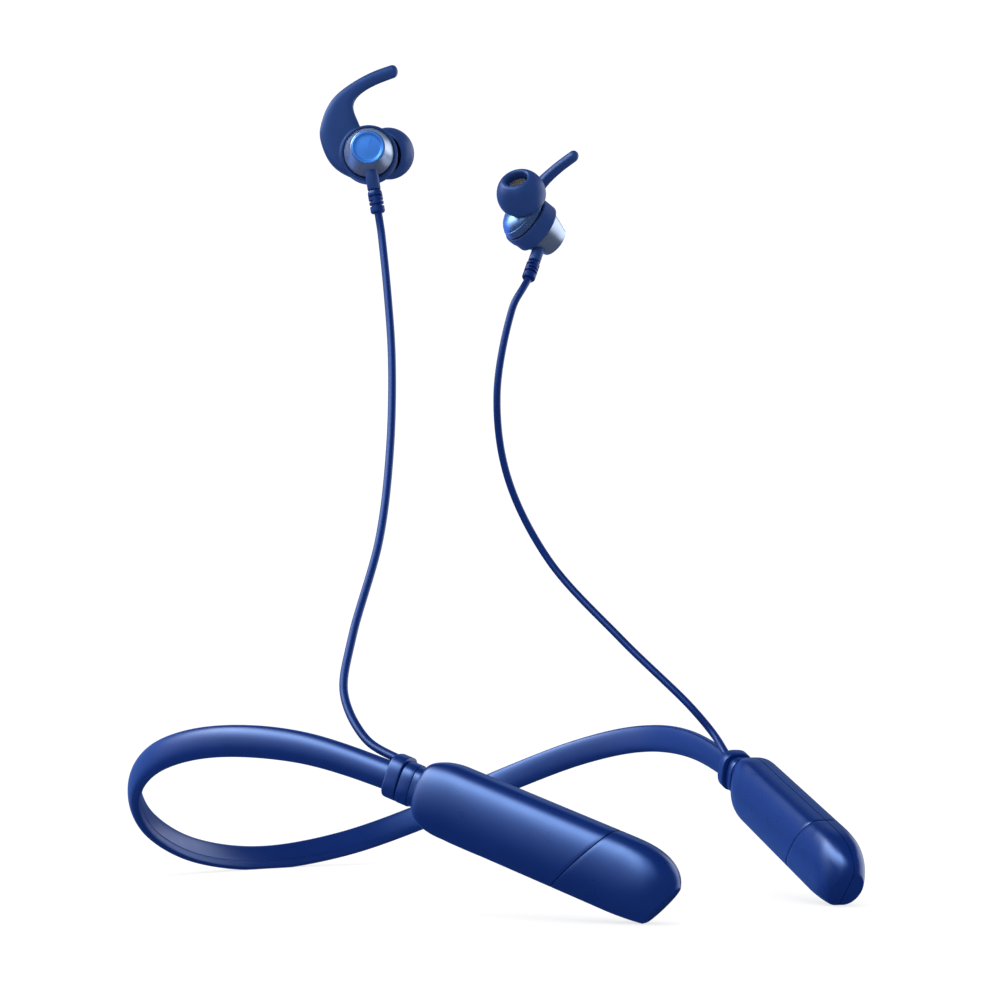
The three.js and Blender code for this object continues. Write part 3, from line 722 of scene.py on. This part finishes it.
def controls(local):
    for name, z in BUTTONS.items():
        place = sideways(local, z)
        sections = [(2.7, 0.25), (2.9, 0.0), (5.15, 0.0), (5.4, 0.06), (5.53, 0.2), (5.6, 0.42), (5.58, 0.9)]
        shape = rounded_bar(BUTTON["half_width"], BUTTON["half_length"], BUTTON["power"], sections)
        marks = {"volume_up": ("across", "along"), "volume_down": ("across",), "centre": ("dot",)}[name]
        for mark in marks:
            size = {"across": (0.14, 0.75), "along": (0.75, 0.14), "dot": (0.4, 0.4)}[mark]
            bar = rounded_bar(*size, 2.4, [(5.4, 0.0), (5.68, 0.0), (5.73, 0.05)], count=24)
            shape.add(bar.points, bar.faces)
        dressed(shape.piece(f"{name}_cap", place), "silicone", name, f"{name}_button")

    under = Local(local.place((0, 0, PORT_AT)), local.basis[0], local.basis[2], -local.basis[1])
    sections = edge_steps(7.2, 0.1, -1, 3) + edge_steps(7.68, 0.2, 1, 5)
    flap = rounded_bar(2.4, 5.5, 4.0, sections)
    lip = rounded_bar(1.1, 0.22, 3.0, [(7.6, 0.0), (7.78, 0.02), (7.84, 0.1)], (0.0, 4.5), 32)
    flap.add(lip.points, lip.faces)
    plug = rounded_bar(1.1, 4.1, 5.0, [(6.8, 0.3), (6.88, 0.1), (7.3, 0.1)], count=48)
    flap.add(plug.points, plug.faces)
    dressed(flap.piece("port_cover", under), "silicone", "port_flap", "port_flap")


# ---- Cables ----
def tube(points, radius, around=28):
    """A round tube along points, without twist."""
    tangents = np.gradient(points, axis=0)
    side = unit(np.cross(tangents[0], (0, 0, 1)))
    angle = 2 * np.pi * np.arange(around) / around
    rings = []
    for point, tangent in zip(points, tangents):
        tangent = unit(tangent)
        side = unit(side - (side @ tangent) * tangent)
        other = np.cross(tangent, side)
        rings.append(point + radius * (np.outer(np.cos(angle), side) + np.outer(np.sin(angle), other)))
    return Shape().loft(rings)


def cable(side):
    knots, points, (bend, sway) = cable_line(side)
    split = (bend + sway) / 2
    spans = {
        "lead_low": (0.0, split, bend, 8.0, (f"{side}_arm", f"{side}_cable"), (f"{side}_cable_root", f"{side}_cable_lower")),
        "lead_high": (split, knots[-1], sway, 13.0, (f"{side}_cable", f"{side}_cable_top"), (f"{side}_cable_upper",)),
    }
    for name, (start, end, joint, reach, bodies, nodes) in spans.items():
        places = np.linspace(start, end, int((end - start) / 0.7))
        line = spline(knots, points, places)
        obj = tube(line, CABLE_RADIUS).piece(f"{side}_{name}", ROW, 60.0)
        dressed(obj, "cable", None, *nodes)
        ends = spline(knots, points, [joint - reach, joint + reach]) * MM
        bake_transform(obj)


# ---- Earbuds ----
HOOK = [  # outer edge, inner edge, half thickness, section power: from the base to the tip
    ((-4.2, -5.6), (-1.5, -4.0), 1.6, 4.5),
    ((-7.2, -4.1), (-1.0, -2.0), 1.6, 4.5),
    ((-10.1, -1.1), (-1.0, 1.0), 1.6, 4.5),
    ((-11.9, 3.5), (-1.5, 4.8), 1.6, 4.2),
    ((-11.8, 7.4), (-2.9, 8.6), 1.6, 3.8),
    ((-9.4, 13.2), (-3.9, 11.9), 1.55, 3.2),
    ((-4.4, 17.7), (-2.5, 14.8), 1.45, 2.6),
    ((0.5, 20.5), (1.3, 17.3), 1.4, 2.3),
    ((5.2, 22.3), (6.0, 19.2), 1.4, 2.2),
]


def hook_shape():
    steps = np.arange(len(HOOK))
    table = np.array([[*outer, *inner, half, power] for outer, inner, half, power in HOOK])
    fine = spline(steps, table, np.linspace(0, len(HOOK) - 1, 90))
    onward = unit((fine[-1, :2] + fine[-1, 2:4]) - (fine[-3, :2] + fine[-3, 2:4]))
    rings = []
    for outer, inner, half, power, ahead in hook_rows(fine, onward):
        centre, across = (outer + inner) / 2 + ahead, (outer - inner) / 2
        outline = superellipse(1.0, half, power, 40)
        flat = centre + outline[:, :1] * across
        rings.append(np.column_stack([flat, outline[:, 1] - 0.4]))
    return Shape().loft(rings)


def hook_rows(fine, onward):
    for row in fine:
        yield row[:2], row[2:4], row[4], row[5], 0.0
    outer, inner = fine[-1, :2], fine[-1, 2:4]
    centre = (outer + inner) / 2
    for angle in np.linspace(0, np.pi / 2, 9)[1:-1]:
        shrink = math.cos(angle)
        yield (centre + (outer - centre) * shrink, centre + (inner - centre) * shrink,
               fine[-1, 4] * shrink, fine[-1, 5], onward * 1.35 * math.sin(angle))


def ear_wing(side, local):
    shape = hook_shape()
    ring = Shape().turned([(6.12, -2.7), (6.8, -2.8), (6.95, -2.6), (6.95, 1.6), (6.8, 1.8), (6.12, 1.7), (6.12, -2.7)], 96)
    shape.add(ring.points, ring.faces)
    obj = shape.piece(f"{side}_wing_skin", local)
    fused(obj, 0.16, 6)
    bore = Shape().turned([(6.1, -5.0), (6.1, 5.0)], 96).piece("bore", local)
    boolean(obj, bore, sharp=50.0)
    dressed(obj, "ear_silicone", f"{side}_wing", f"{side}_ear_wing", slot="silicone")


def smooth_profile(rows, count=70):
    rows = np.array(rows, float)
    knots = lengths_along(rows)
    return spline(knots, rows, np.linspace(0, knots[-1], count))


def ear_tip(side, nozzle):
    dome = smooth_profile([(5.5, 6.5), (5.95, 7.2), (6.3, 8.4), (6.4, 9.9), (6.12, 11.5), (5.4, 13.1),
                           (4.5, 14.2), (3.75, 14.68), (3.2, 14.62), (2.85, 14.2)])
    inside = smooth_profile([(3.5, 7.1), (3.55, 9.5), (3.6, 11.8), (4.1, 12.3), (4.7, 11.9), (5.45, 10.7),
                             (5.75, 9.4), (5.6, 7.9), (5.2, 6.6)], 50)
    profile = np.vstack([dome, [(2.8, 13.6), (2.8, 7.15), (3.1, 6.95)], inside, [(5.3, 6.45), dome[0]]])
    obj = Shape().turned(profile, 96).piece(f"{side}_tip_skin", nozzle, 60.0)
    dressed(obj, "ear_silicone", f"{side}_tip", f"{side}_ear_tip", slot="silicone")


def grille(side, nozzle):
    """A woven disc of fine wires in the nozzle's mouth, over a dark backing."""
    radius, pitch, wire, level_z = 2.32, 0.31, 0.085, 12.5
    shape = Shape().turned([(2.27, 12.1), (2.32, 12.15), (2.32, 12.3)], 48)
    count = int(radius / pitch)
    for along_x in (True, False):
        for k in range(-count, count + 1):
            offset = k * pitch
            half = math.sqrt(radius**2 - offset**2)
            run = np.linspace(-half, half, 40)
            phase = 0.0 if (k % 2 == 0) == along_x else math.pi
            wave = level_z + 0.07 * np.cos(math.pi * run / pitch + phase)
            fixed = np.full_like(run, offset)
            line = np.column_stack([run, fixed, wave] if along_x else [fixed, run, wave])
            strand = tube(line, wire, 8)
            shape.add(strand.points, strand.faces)
    obj = shape.piece(f"{side}_mesh", nozzle)
    dressed(obj, "mesh", f"{side}_earbud", f"{side}_grille")


def boot_shape():
    """The strain relief: a sleeve with staggered slots, then an end bead."""
    around = 2 * np.pi * np.arange(64) / 64
    rings = []
    for z in np.concatenate([[0.0, 0.02], np.arange(0.06, 5.3, 0.06), [5.36, 5.4]]):
        radius = 1.55 + 0.2 * min(1.0, z / 0.6)
        radius -= 0.18 * max(0.0, (z - 5.1) / 0.3)
        ring = np.full(64, radius)
        for start, end, side in ((1.15, 1.6, 0), (2.3, 2.75, 1), (3.3, 3.85, 0), (3.3, 3.85, 1)):
            if start < z < end:
                open_part = np.abs(np.cos(around) if side == 0 else np.sin(around)) > 0.55
                ring = np.where(open_part, 1.28, ring)
        rings.append(np.column_stack([ring * np.cos(around), ring * np.sin(around), np.full(64, z)]))
    neck = Shape().turned([(1.0, -0.9), (1.08, -0.8), (1.08, 0.4)], 48)
    return Shape().loft(rings).add(neck.points, neck.faces)


def earbud(side):
    local = bud_frame(side)
    body = f"{side}_earbud"
    nozzle = local.at((0, 0, 0), in_bud(local, JOINTS[f"{side}_tip_pull"]["axis"]))
    stem_axis = in_bud(local, JOINTS[f"{side}_earbud_swivel"]["axis"])
    stem_axis = stem_axis * -np.sign(stem_axis[1])
    swivel = (np.array(JOINTS[f"{side}_earbud_swivel"]["pos_m"]) - local.origin) / MM @ local.basis.T

    disc = [(0.0, -8.62), (2.1, -8.56), (2.95, -8.5), (3.15, -8.52), (3.25, -8.62), (3.33, -8.86), (3.45, -8.98),
            (3.66, -9.02), (3.85, -8.96), (3.94, -8.8), (3.94, -8.15), (0.0, -8.15)]
    dressed(Shape().turned(disc, 96).piece(f"{side}_cap", local, 50.0), "bright_blue", body, f"{side}_end_disc")

    cone = [(0.0, -8.1), (4.0, -8.1), (4.0, -8.7), (4.06, -8.78), (4.15, -8.72), (4.3, -8.2), (4.5, -7.6), (5.2, -5.6),
            (5.85, -3.5), (6.0, -3.12), (5.6, -2.6), (0.0, -2.6)]
    back = Shape().turned(cone, 96).piece(f"{side}_back_cone", local, 30.0)
    dressed(back, "silver_blue", body)
    stem = local.at(swivel, stem_axis)
    sections = [(0.0, -5.3), (1.4, -5.3), (1.55, -4.9), (1.6, -4.2), (1.6, -0.16), (1.52, -0.02), (1.3, 0.0),
                (1.2, -0.05), (1.2, -0.9), (0.0, -0.9)]
    dressed(Shape().turned(sections, 48).piece(f"{side}_stem", stem), "ear_silicone", body, f"{side}_back_housing", slot="silver_blue")

    cup = [(0.0, -2.5), (5.7, -2.5), (5.8, -2.4), (5.8, 2.0), (6.3, 2.05), (6.5, 2.2), (6.52, 2.6), (6.45, 3.3),
           (6.3, 3.7), (6.12, 4.0), (6.02, 4.02), (5.95, 4.2), (5.6, 4.75), (5.0, 5.35), (4.1, 5.95), (2.6, 6.4), (0.0, 6.6)]
    front = Shape().turned(cup, 96).piece(f"{side}_front", local, 30.0)
    spout = [(3.0, 4.6), (2.75, 5.6), (2.45, 6.6), (2.3, 7.4), (2.3, 12.0), (2.5, 12.15), (2.5, 12.55), (2.46, 12.6), (2.4, 12.6), (2.36, 12.55),
             (2.36, 12.05), (0.0, 12.05)]
    boolean(front, Shape().turned(spout, 64).piece("spout", nozzle), "UNION", 30.0)
    dressed(front, "front_blue", body, f"{side}_front_housing", slot="silver_blue")

    grille(side, nozzle)
    ear_tip(side, nozzle)
    ear_wing(side, local)
    boot = local.at(swivel + 0.3 * stem_axis, stem_axis)
    dressed(boot_shape().piece(f"{side}_boot", boot, 30.0), "cable", f"{side}_cable_top", f"{side}_strain_relief")


# ---- Floor, light and camera ----
CAMERA_AT = (-0.3133, -0.4529, 0.0388)
CAMERA_TURN = (96.515, 0.0, -41.306)
LENS = 71.06


def softbox(name, aim, direction, distance, size, radiance, colour=(1, 1, 1)):
    """A panel that lights matt surfaces, at a distance along a direction from the place it faces."""
    light = bpy.data.lights.new(name, "AREA")
    light.shape = "RECTANGLE"
    light.size, light.size_y = size
    light.energy = radiance * math.pi * size[0] * size[1]
    light.color = colour
    obj = bpy.data.objects.new(name, light)
    bpy.context.scene.collection.objects.link(obj)
    obj.location = Vector(aim) + distance * Vector(unit(direction))
    obj.rotation_euler = (Vector(aim) - obj.location).to_track_quat("-Z", "Y").to_euler()
    obj.visible_camera = False
    obj.visible_glossy = False
    return obj


# What the surfaces mirror: soft panels round the room. Each has its middle in degrees anticlockwise from +X, the
# angles from there to where it starts to fade and where it ends, its colour, and its radiance at sines of heights.
PANELS = {
    "left": (160, 32, 56, (1.0, 1.0, 1.0),
             [(-0.3, 0.0), (-0.1, 0.25), (0.1, 0.9), (0.25, 2.1), (0.36, 4.0), (0.5, 7.4), (0.66, 7.6), (0.8, 1.6), (0.92, 0.1)]),
    "back": (88, 22, 52, (0.16, 0.32, 0.85), [(-0.5, 0.06), (-0.15, 0.85), (0.25, 1.05), (0.42, 0.5), (0.7, 0.1)]),
    "far": (45, 12, 28, (0.5, 0.7, 1.0), [(0.2, 0.0), (0.4, 0.4), (0.7, 0.4), (0.85, 0.0)]),
    "right": (-8, 22, 34, (1.0, 1.0, 1.0), [(-0.35, 0.0), (-0.15, 1.6), (0.45, 1.6), (0.65, 0.0)]),
    "front": (-150, 10, 26, (0.75, 0.88, 1.0), [(0.05, 0.0), (0.4, 1.8), (0.6, 1.8), (0.8, 0.0)]),
}
ROOM = (0.008, 0.022, 0.070)


class WorldNodes:
    """A world's node tree, with short calls for the nodes used here."""

    def __init__(self, tree):
        self.tree = tree

    def fill(self, socket, value):
        if isinstance(value, bpy.types.NodeSocket):
            self.tree.links.new(value, socket)
        else:
            socket.default_value = value

    def math(self, operation, *values):
        node = self.tree.nodes.new("ShaderNodeMath")
        node.operation = operation
        for socket, value in zip(node.inputs, values):
            self.fill(socket, value)
        return node.outputs[0]

    def smooth(self, value, start, end):
        """0 at start, 1 at end."""
        node = self.tree.nodes.new("ShaderNodeMapRange")
        node.interpolation_type = "SMOOTHSTEP"
        for socket, number in zip(node.inputs, (value, start, end, 0.0, 1.0)):
            self.fill(socket, number)
        return node.outputs[0]

    def heights(self, value, stops):
        """Radiance over the sine of the height, eased between stops."""
        total = stops[0][1]
        for (low, before), (high, after) in zip(stops, stops[1:]):
            step = self.math("MULTIPLY", self.smooth(value, low, high), after - before)
            total = self.math("ADD", step, total)
        return total

    def times(self, colour, factor):
        node = self.tree.nodes.new("ShaderNodeVectorMath")
        node.operation = "SCALE"
        node.inputs[0].default_value = colour
        self.fill(node.inputs["Scale"], factor)
        return node.outputs[0]

    def plus(self, a, b):
        node = self.tree.nodes.new("ShaderNodeVectorMath")
        self.fill(node.inputs[0], a)
        self.fill(node.inputs[1], b)
        return node.outputs[0]

    def background(self, colour, strength=1.0):
        node = self.tree.nodes.new("ShaderNodeBackground")
        self.fill(node.inputs["Color"], colour)
        node.inputs["Strength"].default_value = strength
        return node.outputs[0]

    def either(self, choice, a, b):
        node = self.tree.nodes.new("ShaderNodeMixShader")
        for socket, value in zip(node.inputs, (choice, a, b)):
            self.tree.links.new(value, socket)
        return node.outputs[0]


def mirrored_room(nodes):
    direction = nodes.tree.nodes.new("ShaderNodeTexCoord").outputs["Generated"]
    split = nodes.tree.nodes.new("ShaderNodeSeparateXYZ")
    nodes.tree.links.new(direction, split.inputs[0])
    x, y, z = split.outputs
    level_part = nodes.math("SQRT", nodes.math("SUBTRACT", 1.001, nodes.math("MULTIPLY", z, z)))
    room = nodes.times(ROOM, 1.0)
    for middle_angle, fade, end, colour, stops in PANELS.values():
        angle = math.radians(middle_angle)
        towards = nodes.math("ADD", nodes.math("MULTIPLY", x, math.cos(angle)), nodes.math("MULTIPLY", y, math.sin(angle)))
        cosine = nodes.math("DIVIDE", towards, level_part)
        share = nodes.smooth(cosine, math.cos(math.radians(end)), math.cos(math.radians(fade)))
        radiance = nodes.math("MULTIPLY", share, nodes.heights(z, stops))
        room = nodes.plus(room, nodes.times(colour, radiance))
    return room


def world_light():
    """White behind the object, and the room of panels for what shines; the tent lights matt surfaces."""
    world = bpy.data.worlds.new("studio")
    bpy.context.scene.world = world
    world.use_nodes = True
    world.cycles.sampling_method = "NONE"
    world.node_tree.nodes.clear()
    nodes = WorldNodes(world.node_tree)
    paths = world.node_tree.nodes.new("ShaderNodeLightPath").outputs
    unlit = nodes.background(rgb(0, 0, 0), 0.0)
    white = nodes.background(rgb(1, 1, 1), 1.05)
    lit = nodes.either(paths["Is Glossy Ray"], unlit, nodes.background(mirrored_room(nodes)))
    seen = nodes.either(paths["Is Camera Ray"], lit, white)
    output = world.node_tree.nodes.new("ShaderNodeOutputWorld")
    world.node_tree.links.new(seen, output.inputs["Surface"])


def light_tent():
    """An even closed tent of five walls of light on the floor."""
    size = 12.0
    for k, direction in enumerate([(1, 0, 0), (-1, 0, 0), (0, 1, 0), (0, -1, 0), (0, 0, 1)]):
        softbox(f"tent_{k}", (0, 0, size / 2), direction, size / 2, (size, size), 1.12)


def floor():
    n = Nodes("floor")
    tone = n.mixed(n.noise(3.0), rgb(0.3, 0.3, 0.3), rgb(0.31, 0.31, 0.31))
    surface = n.finish(Base_Color=tone, Roughness=0.9, Specular_IOR_Level=0.0,
                       Emission_Color=tone, Emission_Strength=2.4)
    mesh = bpy.data.meshes.new("floor")
    reach = 6.0
    mesh.from_pydata([(-reach, -reach, 0), (reach, -reach, 0), (reach, reach, 0), (-reach, reach, 0)], [], [[0, 1, 2, 3]])
    mesh.materials.append(surface)
    obj = bpy.data.objects.new("floor", mesh)
    bpy.context.scene.collection.objects.link(obj)
    obj.location.z = -0.00002
    obj.visible_glossy = False


def camera():
    data = bpy.data.cameras.new("camera")
    data.lens = LENS
    data.clip_start = 0.01
    obj = bpy.data.objects.new("camera", data)
    bpy.context.scene.collection.objects.link(obj)
    obj.location = CAMERA_AT
    obj.rotation_euler = [math.radians(a) for a in CAMERA_TURN]
    bpy.context.scene.camera = obj


# ---- Assembly ----
knots, rows = band_line()
for side in SIDES:
    ribbon(side, knots, rows)
    pod(side)
    cable(side)
    earbud(side)
controls(pod_frame("right"))

LOOKS = {item["node"]: item["material_slot"] for item in frame["record"]["subparts"]}
for name, node in frame["nodes"].items():
    node.data.materials.clear()
    node.data.materials.append(MATERIALS[LOOKS[name]])

world_light()
light_tent()
softbox("top", (0.0, -0.08, 0.09), (-0.3, -0.2, 1.0), 1.2, (0.8, 0.8), 0.9)
floor()
camera()
bpy.context.scene.view_settings.view_transform = "Standard"
